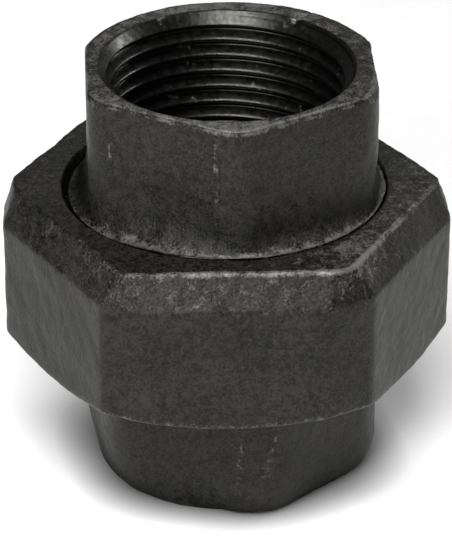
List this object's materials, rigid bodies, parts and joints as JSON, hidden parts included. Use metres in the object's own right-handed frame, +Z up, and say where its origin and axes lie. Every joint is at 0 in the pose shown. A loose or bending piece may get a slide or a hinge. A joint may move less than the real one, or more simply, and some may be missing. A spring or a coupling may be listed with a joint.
{
  "type": "pipe union",
  "caption": "Threaded pipe union in black malleable iron: two female ends drawn onto a ground seat by a hexagonal union nut.",
  "frame": {"origin": "centre of the lower end face, on the pipe axis", "axes": "+Z up along the pipe axis from the head to the tail; -Y is the outward normal of one wrench flat of the union nut"},
  "size_m": [0.0596, 0.055, 0.058],
  "materials": {
    "black_iron": "black oxide on a fine sand-cast skin, worn brighter on its edges",
    "seat_brass": "turned"
  },
  "bodies": {
    "head": {"union_head": "black_iron", "brass_seat_ring": "seat_brass"},
    "tail": {"union_tail": "black_iron"},
    "nut": {"union_nut": "black_iron"}
  },
  "joints": [
    {"name": "tail_lift", "type": "slide", "parent": "head", "child": "tail", "axis": [0, 0, 1], "range_m": [0, 0.01386]},
    {"name": "nut_turn", "type": "hinge", "parent": "tail", "child": "nut", "pos_m": [0, 0, 0.03], "axis": [0, 0, 1], "range_deg": [0, 2160]}
  ],
  "couplings": [
    {"joint": "tail_lift", "follows": "nut_turn", "m_per_rad": 0.0003675}
  ]
}
